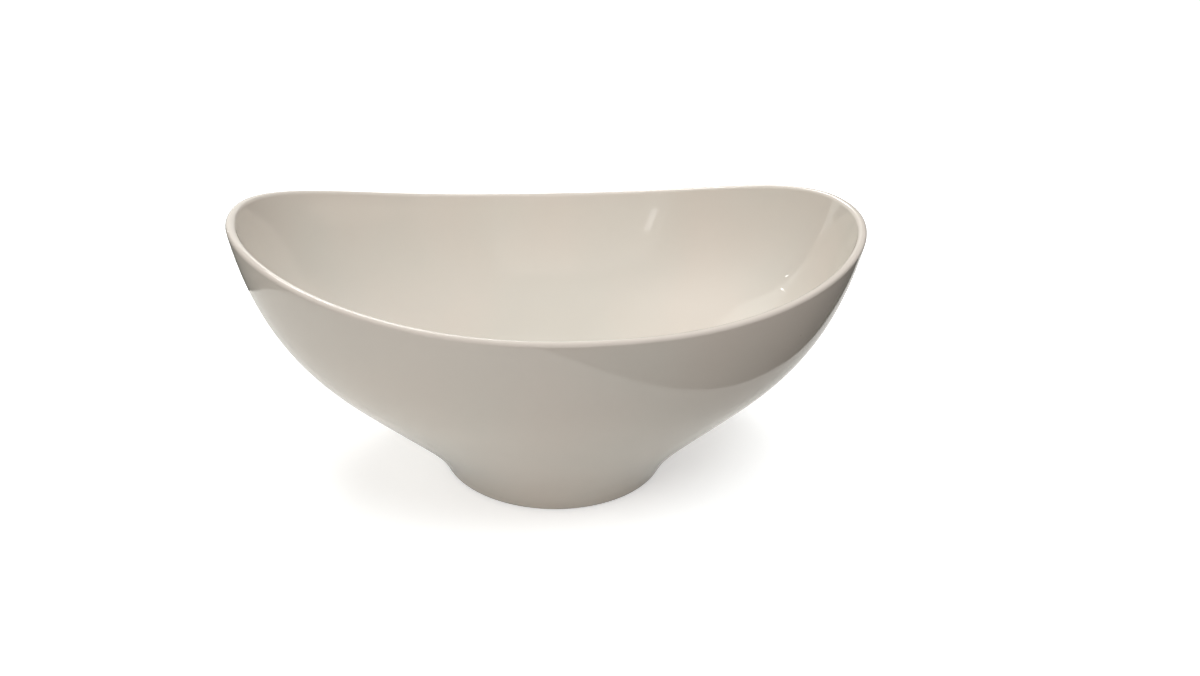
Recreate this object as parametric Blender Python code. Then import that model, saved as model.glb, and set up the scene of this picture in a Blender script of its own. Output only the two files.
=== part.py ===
"""A footed porcelain serving bowl: oval in plan, with a rim that sweeps up to both ends like a saddle.

Four solids, nested the way the fired bowl is built up:
  bowl_shell   the porcelain wall and floor under the glaze
  foot_ring    the porcelain ring stuck under the floor, bare where it stands
  glaze_coat   the glassy skin over the outside, the lip and the whole inside
  base_glaze   the smaller skin inside the foot, parted from the first by the bare standing ring

+X runs along the length, +Z is up, and the origin is the middle of the standing face. Lengths are in
metres.
"""

import math

import bmesh
import bpy
from mathutils import Vector

MM = 0.001

# Driving dimensions of the glazed bowl. The heights are to the crest of the lip.
LENGTH = 300 * MM
WIDTH = 216 * MM
HEIGHT_AT_ENDS = 135.8 * MM
HEIGHT_AT_SIDES = 112.6 * MM
FOOT_RADIUS = 58.4 * MM
FLOOR_HEIGHT = 18 * MM
LIP_RADIUS = 2 * MM

# The rim's outline in plan, where 2 is an ellipse and more is squarer, and how late the rim starts to rise.
RIM_SQUARENESS = 2.15
RIM_SWEEP = 2.36

# The skins. GAP is the clearance that touching solids keep.
GLAZE = 0.4 * MM
GAP = 0.3 * MM
UNDER_GLAZE = GLAZE + GAP

# The foot, measured on the bare porcelain under the glaze.
JOINT_HEIGHT = 11.7 * MM
SEAT_HEIGHT = JOINT_HEIGHT + GAP
GLAZE_LINE = 1 * MM
EDGE_ROUND = 0.8 * MM
RECESS_RADIUS = 52 * MM
RECESS_DRAFT = math.radians(7)
RECESS_FILLET = 4.7 * MM

# Control hoops that pull each wall's smooth curve, from the bottom up to the lip.
# Outside: (share of the way out from the foot circle to the rim, share of the rim's height).
OUTER_HOOPS = ((0, 0), (0.042, 0.066), (0.162, 0.182), (0.574, 0.423), (0.93, 0.676), (1, 1))
# Inside: (radius of a circle, share of the inner rim added to it, share of the rise from floor to rim).
INNER_HOOPS = (
    (0, 0, 0),
    (36 * MM, 0, 0),
    (59 * MM, 0, 0),
    (32.5 * MM, 0.46, 0.337),
    (5 * MM, 0.906, 0.597),
    (0, 1, 1),
)

# How finely the curves are cut into flat faces.
COLUMNS = 48
FOOT_ROWS = 2
OUTER_ROWS = 10
LIP_ROWS = 4
INNER_ROWS = 10
FILLET_ROWS = 3

# The glazed surface is one sheet, followed by its share: up the outside, round the lip, down to the middle.
FOOT, LIP_STARTS, LIP_ENDS, MIDDLE = 0, 1, 2, 3


def on_spline(hoops, t):
    """The point at t, 0 to 1, of the clamped cubic B-spline that these control points pull."""
    spans = len(hoops) - 3
    knots = [0, 0, 0, *range(spans + 1), spans, spans, spans]
    along = t * spans
    first = min(max(math.floor(along), 0), spans - 1)
    points = hoops[first : first + 4]
    for level in (1, 2, 3):
        for i in range(3, level - 1, -1):
            start = knots[first + i]
            end = knots[first + 4 + i - level]
            points[i] = points[i - 1].lerp(points[i], (along - start) / (end - start))
    return points[3]


def rim_point(bearing, inset=0.0):
    """Where a wall runs into the lip: on a squared oval, and on a saddle that is highest at both ends."""
    c, s = math.cos(bearing), math.sin(bearing)
    x = math.copysign(abs(c) ** (2 / RIM_SQUARENESS), c)
    y = math.copysign(abs(s) ** (2 / RIM_SQUARENESS), s)
    rise = (HEIGHT_AT_ENDS - HEIGHT_AT_SIDES) * abs(x) ** RIM_SWEEP
    z = HEIGHT_AT_SIDES + rise - LIP_RADIUS
    return Vector(((LENGTH / 2 - inset) * x, (WIDTH / 2 - inset) * y, z))


def circle_point(bearing, radius, height=0.0):
    return Vector((radius * math.cos(bearing), radius * math.sin(bearing), height))


def outer_wall(t, bearing):
    """The glazed outside, from the standing plane at t = 0 to the lip at t = 1."""
    rim = rim_point(bearing)
    foot = circle_point(bearing, FOOT_RADIUS)
    hoops = [foot.lerp(rim, out) for out, up in OUTER_HOOPS]
    for hoop, (out, up) in zip(hoops, OUTER_HOOPS):
        hoop.z = up * rim.z
    return on_spline(hoops, t)


def inner_wall(t, bearing):
    """The glazed inside, from the middle of the floor at t = 0 to the lip at t = 1."""
    rim = rim_point(bearing, 2 * LIP_RADIUS)
    hoops = [circle_point(bearing, radius) + share * rim for radius, share, up in INNER_HOOPS]
    for hoop, (radius, share, up) in zip(hoops, INNER_HOOPS):
        hoop.z = FLOOR_HEIGHT + up * (rim.z - FLOOR_HEIGHT)
    return on_spline(hoops, t)


def lip(t, bearing):
    """A half round over the wall's top, leaning as the outside does, from outside (t = 0) to inside (1)."""
    outside, inside = rim_point(bearing), rim_point(bearing, 2 * LIP_RADIUS)
    lean = (outside - outer_wall(0.99, bearing)).normalized() * LIP_RADIUS
    middle = (outside + inside) / 2
    return middle + (outside - middle) * math.cos(math.pi * t) + lean * math.sin(math.pi * t)


def glazed(share, bearing):
    if share <= LIP_STARTS:
        return outer_wall(share, bearing)
    if share < LIP_ENDS:
        return lip(share - LIP_STARTS, bearing)
    return inner_wall(MIDDLE - share, bearing)


def sunk(share, bearing, depth):
    """The point this deep under the glazed surface, along its normal."""
    step = 1e-4
    along = glazed(share + step, bearing) - glazed(share - step, bearing)
    across = glazed(share, bearing + step) - glazed(share, bearing - step)
    normal = across.cross(along).normalized() if share < MIDDLE else Vector((0, 0, 1))
    return glazed(share, bearing) - depth * normal


def share_at_height(height, bearing, depth):
    """The share at which the outside, sunk this deep, passes a height near the foot. Found by halving."""
    low, high = FOOT - 0.2, LIP_STARTS
    for _ in range(24):
        middle = (low + high) / 2
        if sunk(middle, bearing, depth).z < height:
            low = middle
        else:
            high = middle
    return middle


def even_steps(start, end, count):
    """The count values that follow start on the way to end."""
    return [start + (end - start) * (i + 1) / count for i in range(count)]


def over_the_wall(bearing, start_height, depth):
    """Points this deep under the glaze, from a height on the outside to the middle of the floor."""
    start = share_at_height(start_height, bearing, depth)
    shares = [start]
    if start_height < SEAT_HEIGHT:
        shares += even_steps(start, share_at_height(SEAT_HEIGHT, bearing, depth), FOOT_ROWS)
    shares += even_steps(shares[-1], LIP_STARTS, OUTER_ROWS)
    shares += even_steps(LIP_STARTS, LIP_ENDS, LIP_ROWS)
    shares += even_steps(LIP_ENDS, MIDDLE, INNER_ROWS)
    return [sunk(share, bearing, depth) for share in shares]


def recess_wall(bearing, height, clear):
    """The leaning wall inside the foot, this far clear of the bare porcelain."""
    lean = (clear + height * math.sin(RECESS_DRAFT)) / math.cos(RECESS_DRAFT)
    return circle_point(bearing, RECESS_RADIUS - lean, height)


def recess_fillet(bearing, turn, clear):
    """The rounded corner above that wall, from a turn of RECESS_DRAFT to level at a quarter turn."""
    height = SEAT_HEIGHT - RECESS_FILLET
    middle = recess_wall(bearing, height, RECESS_FILLET)
    radius = RECESS_FILLET - clear
    return middle + circle_point(bearing, radius * math.cos(turn), radius * math.sin(turn))


def shell_section(bearing):
    underside = circle_point(bearing, 0, SEAT_HEIGHT)
    return [underside, *over_the_wall(bearing, SEAT_HEIGHT, UNDER_GLAZE)]


def ring_section(bearing):
    """Up the outside, across the joint, and down through the fillet and the recess to the standing face."""
    heights = [0, GLAZE_LINE, (GLAZE_LINE + JOINT_HEIGHT) / 2, JOINT_HEIGHT]
    outside = [
        sunk(share_at_height(height, bearing, UNDER_GLAZE), bearing, UNDER_GLAZE) for height in heights
    ]
    for point, height in zip(outside, heights):
        point.z = height
    cut_off = math.asin(1 - GAP / RECESS_FILLET)
    turns = [cut_off, *even_steps(cut_off, RECESS_DRAFT, FILLET_ROWS)]
    fillet = [recess_fillet(bearing, turn, 0) for turn in turns]
    return [*outside, *fillet, recess_wall(bearing, 0, 0)]


def coat_section(bearing):
    return over_the_wall(bearing, GLAZE_LINE, 0)


def base_section(bearing):
    turns = [RECESS_DRAFT, *even_steps(RECESS_DRAFT, math.pi / 2, FILLET_ROWS)]
    fillet = [recess_fillet(bearing, turn, UNDER_GLAZE) for turn in turns]
    middle = circle_point(bearing, 0, SEAT_HEIGHT - UNDER_GLAZE)
    return [recess_wall(bearing, GLAZE_LINE, UNDER_GLAZE), *fillet, middle]


def turned(section, closed=False):
    """A mesh with this section at each bearing: points spun into a tube, then drawn to shape."""
    sections = [section(math.tau * i / COLUMNS) for i in range(COLUMNS)]
    bm = bmesh.new()
    string = [bm.verts.new((1, 0, row)) for row in range(len(sections[0]))]
    edges = [bm.edges.new(pair) for pair in zip(string, string[1:])]
    if closed:
        edges.append(bm.edges.new((string[-1], string[0])))
    bmesh.ops.spin(
        bm,
        geom=string + edges,
        cent=(0, 0, 0),
        axis=(0, 0, 1),
        angle=math.tau,
        steps=COLUMNS,
        use_merge=True,
    )
    for vert in bm.verts:
        turn = round(math.atan2(vert.co.y, vert.co.x) / math.tau * COLUMNS)
        vert.co = sections[turn % COLUMNS][round(vert.co.z)]
    bmesh.ops.remove_doubles(bm, verts=bm.verts, dist=1e-6)
    bmesh.ops.recalc_face_normals(bm, faces=bm.faces)
    return bm


def round_standing_edges(bm):
    """Eases both edges of the ring's standing face."""
    edges = [edge for edge in bm.edges if all(abs(vert.co.z) < 1e-6 for vert in edge.verts)]
    hoops = [edge for edge in edges if len({round(vert.co.xy.length, 4) for vert in edge.verts}) == 1]
    bmesh.ops.bevel(bm, geom=hoops, offset=EDGE_ROUND, segments=3, profile=0.5, affect="EDGES", material=-1)


def node(name, bm, material):
    mesh = bpy.data.meshes.new(name)
    bm.to_mesh(mesh)
    bm.free()
    mesh.shade_smooth()
    mesh.materials.append(material)
    obj = bpy.data.objects.new(name, mesh)
    bpy.context.scene.collection.objects.link(obj)
    return obj


def thicken(obj, side):
    """Gives a sheet the glaze's thickness, on the side that its faces point to (1) or behind them (-1)."""
    solidify = obj.modifiers.new("glaze thickness", "SOLIDIFY")
    solidify.thickness = GLAZE
    solidify.offset = side
    solidify.use_even_offset = True


def finish(name, colour, roughness):
    material = bpy.data.materials.new(name)
    material.use_nodes = True
    shader = material.node_tree.nodes["Principled BSDF"]
    shader.inputs["Base Color"].default_value = (*colour, 1)
    shader.inputs["Roughness"].default_value = roughness
    shader.inputs["Metallic"].default_value = 0
    return material


for old in list(bpy.data.objects):
    bpy.data.objects.remove(old)

porcelain = finish("bare porcelain", (0.72, 0.69, 0.64), 0.6)
glaze = finish("clear glaze over porcelain", (0.8, 0.78, 0.74), 0.08)

node("bowl_shell", turned(shell_section), porcelain)

ring = turned(ring_section, closed=True)
round_standing_edges(ring)
node("foot_ring", ring, porcelain)

thicken(node("glaze_coat", turned(coat_section), glaze), side=-1)
thicken(node("base_glaze", turned(base_section), glaze), side=1)
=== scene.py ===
# %% [markdown]
# # A footed oval bowl in glazed porcelain
# The bowl is one fired article made of four things: a porcelain body, a porcelain foot ring stuck under it,
# a coat of clear glaze that wraps everything you can see from above, and a second, smaller pool of glaze
# inside the foot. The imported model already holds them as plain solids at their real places. This lesson
# rebuilds each with a finer skin and gives it a finish, without moving or resizing anything.

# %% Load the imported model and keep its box
import math

import bmesh
import bpy
import numpy as np
from mathutils import Matrix, Vector


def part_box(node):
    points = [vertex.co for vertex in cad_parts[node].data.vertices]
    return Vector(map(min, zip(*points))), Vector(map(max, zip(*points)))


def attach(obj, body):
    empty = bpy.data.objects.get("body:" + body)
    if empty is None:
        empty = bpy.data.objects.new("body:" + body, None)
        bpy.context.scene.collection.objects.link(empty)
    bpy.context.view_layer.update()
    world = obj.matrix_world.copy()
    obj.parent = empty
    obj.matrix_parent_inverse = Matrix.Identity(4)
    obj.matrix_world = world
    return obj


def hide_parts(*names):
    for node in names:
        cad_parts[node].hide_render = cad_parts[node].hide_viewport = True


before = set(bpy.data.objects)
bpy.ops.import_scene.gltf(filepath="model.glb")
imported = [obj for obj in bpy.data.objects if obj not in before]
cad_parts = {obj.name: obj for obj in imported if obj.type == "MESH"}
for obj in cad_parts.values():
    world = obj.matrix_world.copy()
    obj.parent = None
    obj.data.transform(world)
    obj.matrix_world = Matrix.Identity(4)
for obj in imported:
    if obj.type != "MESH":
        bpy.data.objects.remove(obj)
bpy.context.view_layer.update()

MM = 0.001

# %% [markdown]
# ## Read the driving sizes off the solids
# Every new skin has to land exactly on the solid that it stands for, so the sizes are measured on the
# solids instead of typed in again. The rim is a saddle, highest at both ends, so its height is read twice:
# at the ends, where the whole bowl is tallest, and at the sides, where the widest points are.

# %% Measure the bowl
coat_low, coat_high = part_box("glaze_coat")
LENGTH = coat_high.x - coat_low.x
WIDTH = coat_high.y - coat_low.y
HEIGHT_AT_ENDS = coat_high.z
coat_points = [vert.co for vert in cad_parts["glaze_coat"].data.vertices]
HEIGHT_AT_SIDES = max(point.z for point in coat_points if abs(point.x) < MM)
GLAZE_LINE = coat_low.z
JOINT_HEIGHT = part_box("foot_ring")[1].z
SEAT_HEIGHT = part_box("bowl_shell")[0].z
print("length, width:", round(LENGTH / MM, 1), round(WIDTH / MM, 1))
print("rim at ends, sides:", round(HEIGHT_AT_ENDS / MM, 1), round(HEIGHT_AT_SIDES / MM, 1))
print("glaze line, joint, seat:", [round(z / MM, 1) for z in (GLAZE_LINE, JOINT_HEIGHT, SEAT_HEIGHT)])

# %% [markdown]
# ## Place the camera
# The bowl is seen from a little above and a little to its left, close by, through a wide lens, and the
# camera is tipped slightly to one side as a hand-held one is. A camera looks along its own -Z, so its
# matrix is built from three directions: right, up and back. Aiming first and turning after keeps each
# of the small hand-held turns a separate, readable number.

# %% Make the camera
AIM_HEIGHT = 60 * MM
CAMERA_DISTANCE = 452.2 * MM
CAMERA_AROUND = math.radians(-9.09)
CAMERA_ABOVE = math.radians(25.21)
TURNED_RIGHT = math.radians(2.85)
TURNED_UP = math.radians(0.68)
TIPPED = math.radians(2.49)
LENS_MM = 26.16
SENSOR_MM = 36
NEAR_CLIP = 0.01

level = math.cos(CAMERA_ABOVE)
back = Vector((math.sin(CAMERA_AROUND) * level, -math.cos(CAMERA_AROUND) * level, math.sin(CAMERA_ABOVE)))
aim = -back
across = aim.cross(Vector((0, 0, 1))).normalized()
upward = across.cross(aim)
ahead = math.cos(TURNED_UP) * math.cos(TURNED_RIGHT)
aside = math.cos(TURNED_UP) * math.sin(TURNED_RIGHT)
aim = ahead * aim + aside * across + math.sin(TURNED_UP) * upward
across = aim.cross(Vector((0, 0, 1))).normalized()
upward = across.cross(aim)
right = across * math.cos(TIPPED) + upward * math.sin(TIPPED)
up = upward * math.cos(TIPPED) - across * math.sin(TIPPED)

camera = bpy.data.objects.new("camera", bpy.data.cameras.new("camera"))
camera.data.lens = LENS_MM
camera.data.sensor_width = SENSOR_MM
camera.data.clip_start = NEAR_CLIP
turn = Matrix((right, up, -aim)).transposed().to_4x4()
camera.matrix_world = Matrix.Translation(Vector((0, 0, AIM_HEIGHT)) + back * CAMERA_DISTANCE) @ turn
bpy.context.scene.collection.objects.link(camera)
bpy.context.scene.camera = camera
print("the camera is", round(camera.location.z / MM), "mm above the table")

# %% [markdown]
# ## Draw the walls as smooth curves
# A porcelain wall has no flats and no corners, and its gloss shows every fault, so the curves must be
# smoother than any handful of straight pieces. Each wall is a B-spline: a few control points pull the
# curve towards themselves like springs, and the curve stays smooth whatever they do. A point on it is
# found by mixing neighbouring control points three times over.
# Here every control point is really a hoop round the bowl, because the foot is a circle and the rim is a
# squared oval on a saddle: each hoop is a mix of the two.

# %% The hoops that shape the bowl
FOOT_RADIUS = 58.4 * MM
FLOOR_HEIGHT = 18 * MM
LIP_RADIUS = 2 * MM
RIM_SQUARENESS = 2.15
RIM_SWEEP = 2.36
# Outside: share of the way out from the foot circle to the rim, and share of the rim's height.
OUTER_HOOPS = ((0, 0), (0.042, 0.066), (0.162, 0.182), (0.574, 0.423), (0.93, 0.676), (1, 1))
# Inside: a circle's radius, the share of the inner rim added to it, and the share of the rise.
INNER_HOOPS = (
    (0, 0, 0),
    (36 * MM, 0, 0),
    (59 * MM, 0, 0),
    (32.5 * MM, 0.46, 0.337),
    (5 * MM, 0.906, 0.597),
    (0, 1, 1),
)


def spline_shares(t, count):
    """How much each of count control points weighs at t, 0 to 1, on a clamped cubic B-spline."""
    spans = count - 3
    knots = [0, 0, 0, *range(spans + 1), spans, spans, spans]
    along = t * spans
    first = min(max(math.floor(along), 0), spans - 1)
    points = list(np.eye(count)[first : first + 4])
    for round_number in (1, 2, 3):
        for i in range(3, round_number - 1, -1):
            start = knots[first + i]
            end = knots[first + 4 + i - round_number]
            share = (along - start) / (end - start)
            points[i] = (1 - share) * points[i - 1] + share * points[i]
    return points[3]


def circle(bearing, radius, height=0.0):
    return np.array((radius * math.cos(bearing), radius * math.sin(bearing), height))


def rim(bearing, inset=0.0):
    """Where a wall runs into the lip."""
    c, s = math.cos(bearing), math.sin(bearing)
    x = math.copysign(abs(c) ** (2 / RIM_SQUARENESS), c)
    y = math.copysign(abs(s) ** (2 / RIM_SQUARENESS), s)
    z = HEIGHT_AT_SIDES + (HEIGHT_AT_ENDS - HEIGHT_AT_SIDES) * abs(x) ** RIM_SWEEP - LIP_RADIUS
    return np.array(((LENGTH / 2 - inset) * x, (WIDTH / 2 - inset) * y, z))


def outer_hoops(bearing):
    foot, top = circle(bearing, FOOT_RADIUS), rim(bearing)
    hoops = [(1 - out) * foot + out * top for out, rise in OUTER_HOOPS]
    for hoop, (out, rise) in zip(hoops, OUTER_HOOPS):
        hoop[2] = rise * top[2]
    return np.array(hoops)


def inner_hoops(bearing):
    top = rim(bearing, 2 * LIP_RADIUS)
    hoops = [circle(bearing, radius) + share * top for radius, share, rise in INNER_HOOPS]
    for hoop, (radius, share, rise) in zip(hoops, INNER_HOOPS):
        hoop[2] = FLOOR_HEIGHT + rise * (top[2] - FLOOR_HEIGHT)
    return np.array(hoops)


print("hoops outside and inside:", len(OUTER_HOOPS), len(INNER_HOOPS))

# %% [markdown]
# ## Spin a tube and draw it to shape
# A bowl could be lofted hoop by hoop, but a potter's way is shorter to write. A string of points is spun
# into a plain tube with the spin operator, which makes all the faces, and then every vertex is drawn to
# its place on the bowl. A vertex's height in the tube is its row, and the direction it lies in is its
# bearing, so the tube needs no bookkeeping. Welding closes the tube's end into the middle of the floor.
# Each vertex also keeps its row as an attribute, by which the finish finds the lip to paint shade on it.

# %% Spin a string of points
WELD_DISTANCE = 0.001 * MM


def spin_string(bm, points, steps, closed=False):
    """Joins the points with edges and spins them once round the upright axis."""
    string = [bm.verts.new(point) for point in points]
    edges = [bm.edges.new(pair) for pair in zip(string, string[1:])]
    if closed:
        edges.append(bm.edges.new((string[-1], string[0])))
    bmesh.ops.spin(
        bm,
        geom=string + edges,
        cent=(0, 0, 0),
        axis=(0, 0, 1),
        angle=math.tau,
        steps=steps,
        use_merge=True,
    )


def weld(bm):
    """Merges doubled vertices and turns every face outwards."""
    bmesh.ops.remove_doubles(bm, verts=bm.verts, dist=WELD_DISTANCE)
    bmesh.ops.recalc_face_normals(bm, faces=bm.faces)


print("doubles weld within", WELD_DISTANCE / MM, "mm")

# %% Draw the tube to shape
COLUMNS = 192


def drawn_tube(section, closed=False):
    """A mesh with this section at each bearing, which is an array of points from one end to the other."""
    sections = [section(math.tau * i / COLUMNS) for i in range(COLUMNS)]
    bm = bmesh.new()
    row_of = bm.verts.layers.float.new("row")
    spin_string(bm, [(1, 0, row) for row in range(len(sections[0]))], COLUMNS, closed)
    for vert in bm.verts:
        vert[row_of] = vert.co.z
        turn = round(math.atan2(vert.co.y, vert.co.x) / math.tau * COLUMNS)
        vert.co = sections[turn % COLUMNS][round(vert.co.z)]
    weld(bm)
    return bm


def as_piece(name, bm, stands_for):
    """Puts a finished mesh in the scene as a smooth piece that stands for one of the solids."""
    mesh = bpy.data.meshes.new(name)
    bm.to_mesh(mesh)
    bm.free()
    mesh.shade_smooth()
    piece = bpy.data.objects.new(name, mesh)
    bpy.context.scene.collection.objects.link(piece)
    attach(piece, "root")
    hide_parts(stands_for)
    print(name, "has", len(mesh.polygons), "faces and stands for", stands_for)
    return piece


print("sections round the bowl:", COLUMNS)

# %% [markdown]
# ## The glazed surface
# One section runs up the outside, over the half-round lip, down the inside and across the floor to its
# middle. The lip leans with the wall, so that it leaves the outside without a crease. Because the rim is
# pressed up at the ends, the height that a hoop reaches depends on the bearing, so the row where the
# glaze starts is found by halving. The sheet of points could be thickened by hand, but the Solidify
# modifier does it evenly: the glaze is 0.4 mm thick, laid inwards from the surface that shows.

# %% The section of the glazed surface
OUTER_ROWS = 64
LIP_ROWS = 24
INNER_ROWS = 56
HALVINGS = 30


def share_at(height, hoops):
    """The t at which the wall through these hoops passes a height. Found by halving."""
    low, high = -0.2, 1.0
    for _ in range(HALVINGS):
        middle = (low + high) / 2
        if spline_shares(middle, len(hoops)) @ hoops[:, 2] < height:
            low = middle
        else:
            high = middle
    return middle


def wall(hoops, start, end, rows):
    return [spline_shares(t, len(hoops)) @ hoops for t in np.linspace(start, end, rows + 1)]


def glazed_section(bearing, start_height):
    hoops = outer_hoops(bearing)
    outside = wall(hoops, share_at(start_height, hoops), 1, OUTER_ROWS)
    lean = outside[-1] - outside[-2]
    lean *= LIP_RADIUS / np.linalg.norm(lean)
    middle = (outside[-1] + rim(bearing, 2 * LIP_RADIUS)) / 2
    reach = outside[-1] - middle
    turns = np.linspace(0, math.pi, LIP_ROWS + 1)[1:]
    lip = [middle + reach * math.cos(a) + lean * math.sin(a) for a in turns]
    return outside + lip + wall(inner_hoops(bearing), 1, 0, INNER_ROWS)[1:]


print("rows outside, over the lip and inside:", OUTER_ROWS, LIP_ROWS, INNER_ROWS)

# %% Make the coat of glaze
GLAZE = 0.4 * MM


def thicken(piece, side):
    """Gives a sheet of glaze its thickness, on the side its faces point to (1) or behind them (-1)."""
    solidify = piece.modifiers.new("glaze thickness", "SOLIDIFY")
    solidify.thickness = GLAZE
    solidify.offset = side


coat_mesh = drawn_tube(lambda bearing: glazed_section(bearing, GLAZE_LINE))
glaze_coat = as_piece("fired_glaze", coat_mesh, "glaze_coat")
thicken(glaze_coat, side=-1)

# %% [markdown]
# ## The porcelain under the glaze
# The body is the same wall, 0.7 mm under the surface: 0.4 mm of glaze and the clearance that the solids
# keep. The simplest way to get an offset wall is to move each vertex back along its own normal, which
# works because the mesh is fine and its normals already point outwards. The seat, where the body stands
# on the foot ring, has to stay flat, so its row is put back at the seat's height and closed with a disc.

# %% Make the porcelain body
UNDER_GLAZE = 0.7 * MM


def sink(bm, depth):
    """Moves every vertex in behind its own surface."""
    bm.normal_update()
    moves = {vert: vert.normal * depth for vert in bm.verts}
    for vert, move in moves.items():
        vert.co -= move


def close_flat(bm, height):
    """Levels the open edge at a height and fills it with a disc."""
    open_edge = [edge for edge in bm.edges if edge.is_boundary]
    for vert in {vert for edge in open_edge for vert in edge.verts}:
        vert.co.z = height
    bmesh.ops.holes_fill(bm, edges=open_edge, sides=0)
    bmesh.ops.recalc_face_normals(bm, faces=bm.faces)


body_mesh = drawn_tube(lambda bearing: glazed_section(bearing, SEAT_HEIGHT))
sink(body_mesh, UNDER_GLAZE)
close_flat(body_mesh, SEAT_HEIGHT)
porcelain_body = as_piece("porcelain_body", body_mesh, "bowl_shell")

# %% [markdown]
# ## The foot ring
# The ring carries the bowl clear of the table, so its standing face is the one place that must stay bare:
# glaze there would weld the bowl to the kiln shelf. Its section is a closed loop: up the outside under
# the glaze, across the joint, round the fillet and down the leaning wall of the recess. Spinning a closed
# string gives the whole ring at once, and a bevel on the two edges of the standing face eases them, as a
# potter does with a wet sponge.

# %% The recess inside the foot
RECESS_RADIUS = 52 * MM
RECESS_DRAFT = math.radians(7)
RECESS_FILLET = 4.7 * MM
EDGE_ROUND = 0.8 * MM
FILLET_ROWS = 10
FOOT_ROWS = 8
JOINT_GAP = SEAT_HEIGHT - JOINT_HEIGHT


def recess_radius(height, clear):
    """How wide the recess is at a height, this far clear of the bare porcelain."""
    return RECESS_RADIUS - (clear + height * math.sin(RECESS_DRAFT)) / math.cos(RECESS_DRAFT)


def recess_fillet(bearing, first_turn, last_turn, clear):
    """The rounded corner between the recess's wall and its ceiling."""
    height = SEAT_HEIGHT - RECESS_FILLET
    middle = recess_radius(height, RECESS_FILLET)
    radius = RECESS_FILLET - clear
    turns = np.linspace(first_turn, last_turn, FILLET_ROWS + 1)
    return [circle(bearing, middle + radius * math.cos(a), height + radius * math.sin(a)) for a in turns]


def ring_section(bearing):
    hoops = outer_hoops(bearing)
    lean_back = np.array((math.cos(bearing), math.sin(bearing), 0)) * UNDER_GLAZE
    outside = wall(hoops, share_at(0, hoops), share_at(JOINT_HEIGHT, hoops), FOOT_ROWS)
    outside = [point - lean_back for point in outside]
    cut_off = math.asin(1 - JOINT_GAP / RECESS_FILLET)
    fillet = recess_fillet(bearing, cut_off, RECESS_DRAFT, 0)
    return [*outside, *fillet, circle(bearing, recess_radius(0, 0))]


standing_width = FOOT_RADIUS - UNDER_GLAZE - recess_radius(0, 0)
print("the standing face is", round(standing_width / MM, 1), "mm wide before its edges are eased")

# %% Make the foot ring
CREASE_ANGLE = math.radians(40)


def ease_standing_edges(bm):
    """Bevels both edges of the standing face and returns how many it found."""
    standing = [edge for edge in bm.edges if all(abs(vert.co.z) < WELD_DISTANCE for vert in edge.verts)]
    hoops = [edge for edge in standing if len({round(vert.co.xy.length, 4) for vert in edge.verts}) == 1]
    bmesh.ops.bevel(
        bm, geom=hoops, offset=EDGE_ROUND, segments=4, profile=0.5, affect="EDGES", material=-1
    )
    return len(hoops)


ring_mesh = drawn_tube(ring_section, closed=True)
print("edges eased on the standing face:", ease_standing_edges(ring_mesh))
foot_ring = as_piece("bare_foot_ring", ring_mesh, "foot_ring")
foot_ring.data.set_sharp_from_angle(angle=CREASE_ANGLE)

# %% [markdown]
# ## The glaze inside the foot
# The underside is glazed too, up to the same bare ring, so that the whole bowl wipes clean. This skin
# could be copied off the ring and the seat, but an open dish, spun like the others, is simpler, with the
# glaze laid on the side that faces the porcelain.

# %% Make the glaze inside the foot
CEILING_SHARES = (0.75, 0.5, 0.25, 0)


def recess_section(bearing):
    fillet = recess_fillet(bearing, RECESS_DRAFT, math.pi / 2, UNDER_GLAZE)
    ceiling = SEAT_HEIGHT - UNDER_GLAZE
    reach = np.linalg.norm(fillet[-1][:2])
    across = [circle(bearing, reach * share, ceiling) for share in CEILING_SHARES]
    start = circle(bearing, recess_radius(GLAZE_LINE, UNDER_GLAZE), GLAZE_LINE)
    return [start, *fillet, *across]


recess_glaze = as_piece("recess_glaze", drawn_tube(recess_section), "base_glaze")
thicken(recess_glaze, side=1)

# %% [markdown]
# ## Finish: clear glaze over warm white porcelain
# A glazed wall is two things at once: a smooth clear skin that mirrors the room, and the warm white body
# under it. A single colour with a low roughness would look like plastic, so slow patterns break it up.
# Wide, faint patches shift the tint, because glaze is never equally thick. A slow bump makes straight
# reflections waver, a far finer one gives them a slightly soft edge, and the roughness wanders a little,
# as on handled ware. A few specks come from iron in the clay. The lip is a shade deeper: painted shade,
# which tones down its crest where it faces up into the lamps.
# The patterns read Object coordinates, which are metres in the bowl's own frame. A painted image would do
# too, but it would need an unwrapped mesh and would blur close up.

# %% Helpers that read and spread a pattern
def new_material(name):
    material = bpy.data.materials.new(name)
    material.use_nodes = True
    return material, material.node_tree.nodes["Principled BSDF"]


def place(tree):
    """Where a point of the surface is, in metres in the object's own frame."""
    return tree.nodes.new("ShaderNodeTexCoord").outputs["Object"]


def noise(tree, per_metre, detail=2.0, roughness=0.5):
    """Noise over the object, with this many features in a metre."""
    texture = tree.nodes.new("ShaderNodeTexNoise")
    texture.inputs["Scale"].default_value = per_metre
    texture.inputs["Detail"].default_value = detail
    texture.inputs["Roughness"].default_value = roughness
    tree.links.new(place(tree), texture.inputs["Vector"])
    return texture.outputs["Fac"]


def spread(tree, value, low, high, to_low=0.0, to_high=1.0):
    """Maps low..high of a value to to_low..to_high, and holds it there outside."""
    remap = tree.nodes.new("ShaderNodeMapRange")
    remap.inputs["From Min"].default_value = low
    remap.inputs["From Max"].default_value = high
    remap.inputs["To Min"].default_value = to_low
    remap.inputs["To Max"].default_value = to_high
    tree.links.new(value, remap.inputs["Value"])
    return remap.outputs["Result"]


print("ready to read a pattern: place, noise, spread")

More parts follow.
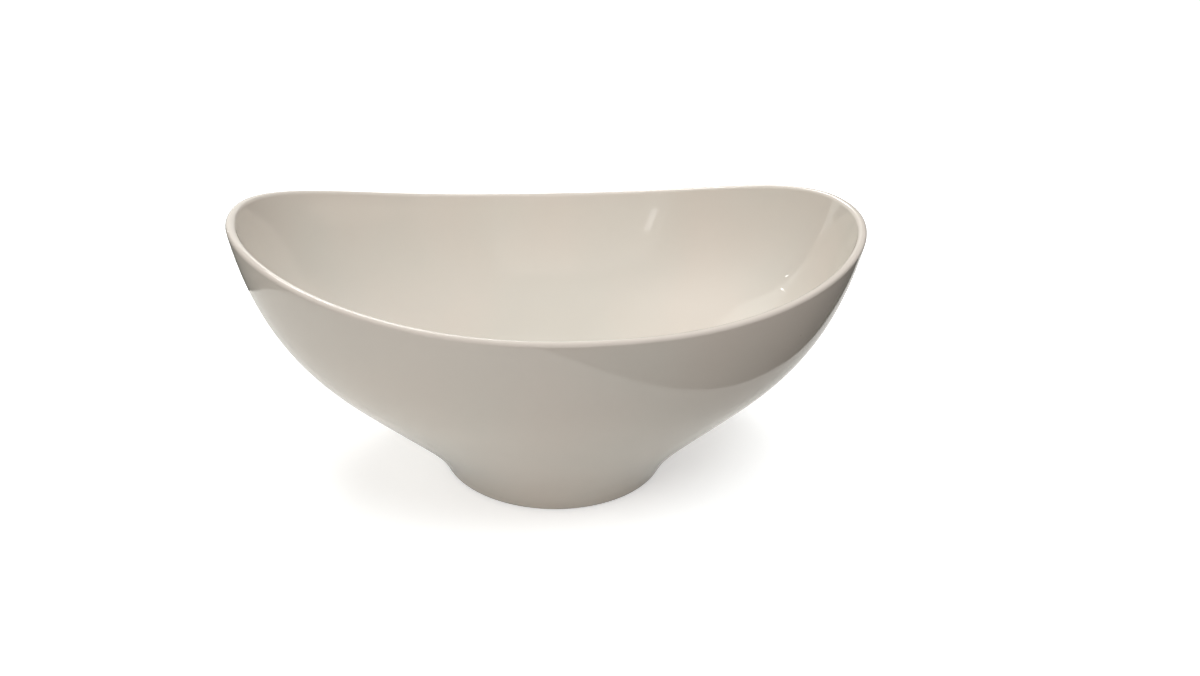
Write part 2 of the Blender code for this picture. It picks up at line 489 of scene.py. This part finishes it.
# %% Helpers that colour and raise a surface
def blend(tree, share, first, second):
    """A colour between first and second, which are colours or other nodes' outputs."""
    mix = tree.nodes.new("ShaderNodeMix")
    mix.data_type = "RGBA"
    tree.links.new(share, mix.inputs["Factor"])
    for socket, colour in ((mix.inputs["A"], first), (mix.inputs["B"], second)):
        if isinstance(colour, bpy.types.NodeSocket):
            tree.links.new(colour, socket)
        else:
            socket.default_value = (*colour, 1)
    return mix.outputs["Result"]


def bump(tree, height, distance, strength, onto=None):
    """Raises a surface by up to this distance, on top of another bump if there is one."""
    node = tree.nodes.new("ShaderNodeBump")
    node.inputs["Distance"].default_value = distance
    node.inputs["Strength"].default_value = strength
    tree.links.new(height, node.inputs["Height"])
    if onto:
        tree.links.new(onto, node.inputs["Normal"])
    return node.outputs["Normal"]


print("ready to colour a surface: blend, bump")

# %% Find the lip by its rows, where shade is painted
LIP_FADE = 5


def lip_painted_shade_share(tree):
    """Where the lip's painted shade goes: 1 on the lip and 0 a few rows away, read off the row that every
    vertex carries.
    """
    row = tree.nodes.new("ShaderNodeAttribute")
    row.attribute_name = "row"
    lip_starts = OUTER_ROWS - 1
    lip_ends = OUTER_ROWS + LIP_ROWS + 1
    rising = spread(tree, row.outputs["Fac"], lip_starts, lip_starts + LIP_FADE)
    falling = spread(tree, row.outputs["Fac"], lip_ends - LIP_FADE, lip_ends, 1, 0)
    both = tree.nodes.new("ShaderNodeMath")
    both.operation = "MULTIPLY"
    tree.links.new(rising, both.inputs[0])
    tree.links.new(falling, both.inputs[1])
    return both.outputs["Value"]


print("the lip is rows", OUTER_ROWS, "to", OUTER_ROWS + LIP_ROWS)

# %% Make the glaze
WARM_WHITE = (0.73, 0.662, 0.592)
COOL_WHITE = (0.71, 0.666, 0.60)
SPECK = (0.50, 0.42, 0.34)
# Painted shade: the lip is coloured darker than the walls, to tone down its upturned crest.
LIP_PAINTED_SHADE = (0.67, 0.6, 0.537)
PATCHES_PER_METRE = 14
SPECKS_PER_METRE = 420
SMEARS_PER_METRE = 45
WAVES_PER_METRE = 22
WAVE_HEIGHT = 0.2 * MM
PEEL_PER_METRE = 500
PEEL_HEIGHT = 0.01 * MM
SMOOTHEST, DULLEST = 0.045, 0.1
GLAZE_IOR = 1.52


def glaze_finish():
    material, shader = new_material("clear glaze over warm porcelain")
    tree = material.node_tree
    tint = spread(tree, noise(tree, PATCHES_PER_METRE, 1.5), 0.35, 0.65)
    specks = spread(tree, noise(tree, SPECKS_PER_METRE, 1.0), 0.84, 0.87)
    colour = blend(tree, tint, WARM_WHITE, COOL_WHITE)
    # Painted shade: the lip takes the darker colour.
    colour = blend(tree, lip_painted_shade_share(tree), colour, LIP_PAINTED_SHADE)
    colour = blend(tree, specks, colour, SPECK)
    tree.links.new(colour, shader.inputs["Base Color"])
    smears = spread(tree, noise(tree, SMEARS_PER_METRE, 3.0), 0.4, 0.7, SMOOTHEST, DULLEST)
    tree.links.new(smears, shader.inputs["Roughness"])
    waver = bump(tree, noise(tree, WAVES_PER_METRE, 1.0), WAVE_HEIGHT, 0.5)
    peel = bump(tree, noise(tree, PEEL_PER_METRE, 1.0), PEEL_HEIGHT, 0.4, waver)
    tree.links.new(peel, shader.inputs["Normal"])
    shader.inputs["IOR"].default_value = GLAZE_IOR
    return material


glaze = glaze_finish()
for piece in (glaze_coat, recess_glaze):
    piece.data.materials.append(glaze)
print("glaze on", glaze_coat.name, "and", recess_glaze.name)

# %% [markdown]
# ## Finish: bare porcelain
# Where no glaze lies, fired porcelain is fine, hard and matt, and the ring that stands in the kiln picks
# up a little grey. One noise drives both: where it is greyer it is rougher too, as a worn place is. A
# second, much finer one raises the grain that a fingernail can feel.

# %% Make the bare porcelain
BARE_WHITE = (0.74, 0.70, 0.635)
KILN_GREY = (0.46, 0.43, 0.39)
MOTTLES_PER_METRE = 160
GRAINS_PER_METRE = 1800
GRAIN_HEIGHT = 0.05 * MM


def bare_finish():
    material, shader = new_material("bare vitrified porcelain")
    tree = material.node_tree
    mottling = spread(tree, noise(tree, MOTTLES_PER_METRE, 4.0, 0.6), 0.4, 0.75)
    tree.links.new(blend(tree, mottling, BARE_WHITE, KILN_GREY), shader.inputs["Base Color"])
    tree.links.new(spread(tree, mottling, 0, 1, 0.5, 0.75), shader.inputs["Roughness"])
    grain = bump(tree, noise(tree, GRAINS_PER_METRE, 3.0, 0.7), GRAIN_HEIGHT, 0.5)
    tree.links.new(grain, shader.inputs["Normal"])
    return material


bare = bare_finish()
for piece in (porcelain_body, foot_ring):
    piece.data.materials.append(bare)
print("bare porcelain on", porcelain_body.name, "and", foot_ring.name)

# %% [markdown]
# ## The stage
# The bowl stands in a plain pale cove: a floor that curves up into a wall all round. A plane and a
# backdrop would do from the front, but they show their edges from behind, and one outline spun round has
# none. The paper glows more the higher it rises, which evens it out, since less of the lamps' light
# reaches it there. The cove is only there for the camera to see: with its other rays switched off, it
# neither lights the bowl nor shows in the glaze as an endless white room.

# %% Helpers for the stage
MATT = 0.9


def stage_object(name, bm, material):
    mesh = bpy.data.meshes.new(name)
    bm.to_mesh(mesh)
    bm.free()
    mesh.shade_smooth()
    mesh.materials.append(material)
    thing = bpy.data.objects.new(name, mesh)
    bpy.context.scene.collection.objects.link(thing)
    return thing


def plain(name, colour):
    material, shader = new_material(name)
    shader.inputs["Base Color"].default_value = (*colour, 1)
    shader.inputs["Roughness"].default_value = MATT
    return material


def add_glow(material, colour, measure, reach, glow):
    """Lets a plain finish glow, from glow[0] to glow[1] as the measure runs from reach[0] to reach[1]."""
    shader = material.node_tree.nodes["Principled BSDF"]
    shader.inputs["Emission Color"].default_value = (*colour, 1)
    strength = spread(material.node_tree, measure(material.node_tree), *reach, *glow)
    material.node_tree.links.new(strength, shader.inputs["Emission Strength"])


print("ready to build the stage: stage_object, plain, add_glow")

# %% Make the cove
COVE_FLAT = 1.8
COVE_CURVE = 1.2
COVE_WALL = 4.0
COVE_STEPS = 96
CURVE_STEPS = 12
PAPER = (0.86, 0.86, 0.86)
PAPER_RISE = (0.05, 1)
PAPER_GLOW = (0.5, 1)


def height_above_table(tree):
    split = tree.nodes.new("ShaderNodeSeparateXYZ")
    tree.links.new(place(tree), split.inputs["Vector"])
    return split.outputs["Z"]


turns = np.linspace(0, math.pi / 2, CURVE_STEPS + 1)
arc = [(COVE_FLAT + COVE_CURVE * math.sin(a), 0, COVE_CURVE * (1 - math.cos(a))) for a in turns]
cove_mesh = bmesh.new()
spin_string(cove_mesh, [(0, 0, 0), *arc, (COVE_FLAT + COVE_CURVE, 0, COVE_WALL)], COVE_STEPS)
weld(cove_mesh)
bmesh.ops.reverse_faces(cove_mesh, faces=cove_mesh.faces)
paper = plain("pale paper", PAPER)
add_glow(paper, (1, 1, 1), height_above_table, PAPER_RISE, PAPER_GLOW)
cove = stage_object("pale_cove", cove_mesh, paper)
cove.visible_diffuse = False
cove.visible_glossy = False
cove.visible_shadow = False
print("the cove is", 2 * (COVE_FLAT + COVE_CURVE), "m across")

# %% [markdown]
# ## The table that the glaze mirrors
# A glossy thing shows its surroundings more than itself. This bowl stands on a pale table with edges, and
# past them the room is dark. The edges draw the clean line of shade on the bowl's right side and the
# small one at its left end. One sheet could be both the mirror image and the light from below, but then
# neither could be tuned alone, so there are two, just under the cove's floor. The gleam shows only in the
# glaze, and is duller close to the foot, where the bowl shades its own table. The bounce never shows
# there, and sends the lamps' light back up. A dark floor lies below them both.

# %% The table's outline
TABLE_CORNERS = (
    (-0.35, -0.60),
    (0.17, -0.068),
    (0.215, -0.008),
    (0.275, 0.062),
    (0.345, 0.16),
    (0.95, 0.74),
    (0.20, 0.80),
    (-0.15, 0.32),
    (-0.249, 0.181),
    (-0.311, 0.074),
    (-0.332, 0.019),
    (-0.343, -0.044),
)


def hide_from_camera(thing):
    thing.visible_camera = False
    thing.visible_shadow = False


def table_top(name, depth, material):
    """A sheet with the table's outline, this far under the cove's floor."""
    bm = bmesh.new()
    bm.faces.new([bm.verts.new((x, y, -depth)) for x, y in TABLE_CORNERS])
    bmesh.ops.recalc_face_normals(bm, faces=bm.faces)
    sheet = stage_object(name, bm, material)
    hide_from_camera(sheet)
    return sheet


print("the table has", len(TABLE_CORNERS), "corners")

# %% Make the gleam and the bounce
BLACK = (0, 0, 0)
GLEAM_COLOUR = (1, 0.99, 0.94)
GLEAM_REACH = (0.055, 0.11)
GLEAM_GLOW = (0.35, 0.9)
GLEAM_DEPTH = 0.4 * MM
BOUNCE_COLOUR = (0.72, 0.71, 0.69)
BOUNCE_DEPTH = 0.8 * MM


def distance_from_middle(tree):
    length = tree.nodes.new("ShaderNodeVectorMath")
    length.operation = "LENGTH"
    tree.links.new(place(tree), length.inputs[0])
    return length.outputs["Value"]


lit_top = plain("lit table top", BLACK)
add_glow(lit_top, GLEAM_COLOUR, distance_from_middle, GLEAM_REACH, GLEAM_GLOW)
gleam = table_top("table_gleam", GLEAM_DEPTH, lit_top)
gleam.visible_diffuse = False
bounce = table_top("table_bounce", BOUNCE_DEPTH, plain("pale table top", BOUNCE_COLOUR))
bounce.visible_glossy = False
print("sheets under the bowl:", gleam.name, "and", bounce.name)

# %% Make the dark floor
ROOM_REACH = 6.0
FLOOR_DEPTH = 20 * MM
FLOOR_COLOUR = (0.05, 0.045, 0.04)

dark_mesh = bmesh.new()
bmesh.ops.create_grid(dark_mesh, x_segments=1, y_segments=1, size=ROOM_REACH)
bmesh.ops.translate(dark_mesh, verts=dark_mesh.verts, vec=(0, 0, -FLOOR_DEPTH))
dark_floor = stage_object("dark_floor", dark_mesh, plain("dark floor", FLOOR_COLOUR))
hide_from_camera(dark_floor)
print("the dark floor is", 2 * ROOM_REACH, "m wide")

# %% [markdown]
# ## The light
# Glaze shows every lamp as a shape, so the work is split. Three wide lamps, overhead, on the left and at
# the front left, fill the bowl and are hidden from the glaze. The rest show in it. The panels behind, in
# front and at the front right shade the walls softly from one side to the other. A half-round lip
# mirrors a lamp from almost anywhere, and the two behind the bowl, one high and one low, draw the bright
# line along its near left. A narrow strip in front leaves a soft streak on the far wall, and four lamps
# as small as coins add pin-point sparkles. One big soft lamp would be simpler, but it would leave the
# inside flat and the lip dull.

# %% Light the bowl
AIM_AT = Vector((0, 0, AIM_HEIGHT))


def panel(name, around, above, distance, width, height, power, colour=(1, 1, 1)):
    """A soft light that faces the bowl.

    It is seen from the bowl at a bearing (around, 0 is the front) and a height (above), both in degrees.
    Distance, width and height are in metres, and power is in watts.
    """
    a, e = math.radians(around), math.radians(above)
    towards = Vector((math.sin(a) * math.cos(e), -math.cos(a) * math.cos(e), math.sin(e)))
    light = bpy.data.lights.new(name, "AREA")
    light.shape = "RECTANGLE"
    light.size = width
    light.size_y = height
    light.energy = power
    light.color = colour
    lamp = bpy.data.objects.new(name, light)
    facing = towards.to_track_quat("Z", "Y").to_matrix().to_4x4()
    lamp.matrix_world = Matrix.Translation(AIM_AT + towards * distance) @ facing
    bpy.context.scene.collection.objects.link(lamp)
    return lamp


print("lamps aim", round(AIM_AT.z / MM), "mm above the table")

# %% Lamps that fill the bowl
overhead = panel("overhead", 30, 72, 3.0, 2.2, 2.2, 78, (0.95, 0.985, 0.995))
left = panel("left", -100, 15, 3.0, 3.0, 2.4, 18, (0.94, 1, 0.95))
front_left = panel("front_left", -45, 32, 3.0, 2.8, 2.4, 17)
for lamp in (overhead, left, front_left):
    lamp.visible_glossy = False
print("hidden from the glaze:", overhead.name, left.name, front_left.name)

# %% Lamps that show in the glaze
panel("high_left", -160, 60, 2.6, 1.2, 0.5, 20)
glint = panel("low_glint", 179, 34, 2.6, 0.6, 0.35, 4)
glint.visible_diffuse = False
panel("back_left", -168, 20, 3.0, 2.8, 2.4, 20, (1, 1, 0.94))
panel("front", -9, 15, 3.0, 2.8, 2.4, 12, (1, 0.9, 0.86))
panel("front_right", 20, 14, 3.0, 2.4, 2.4, 4.5, (1, 0.89, 0.84))
panel("strip", -28, 10, 3.0, 0.16, 0.4, 0.45)
print("bright lines on the lip come from high_left and", glint.name)

# %% Sparkles
SPARKLES = ((27, 2), (69, 4), (-146, 20), (-140, 18))
SPARKLE_SIZE = 25 * MM
SPARKLE_POWER = 0.08

for number, (around, above) in enumerate(SPARKLES):
    panel(f"sparkle_{number}", around, above, 2.2, SPARKLE_SIZE, SPARKLE_SIZE, SPARKLE_POWER)
print("sparkles:", len(SPARKLES))

# %% The room's own light
ROOM_COLOUR = (0.5, 0.49, 0.47)
ROOM_STRENGTH = 0.1

world = bpy.data.worlds.new("room")
bpy.context.scene.world = world
world.use_nodes = True
background = world.node_tree.nodes["Background"]
background.inputs["Color"].default_value = (*ROOM_COLOUR, 1)
background.inputs["Strength"].default_value = ROOM_STRENGTH
bpy.context.scene.view_settings.view_transform = "Standard"
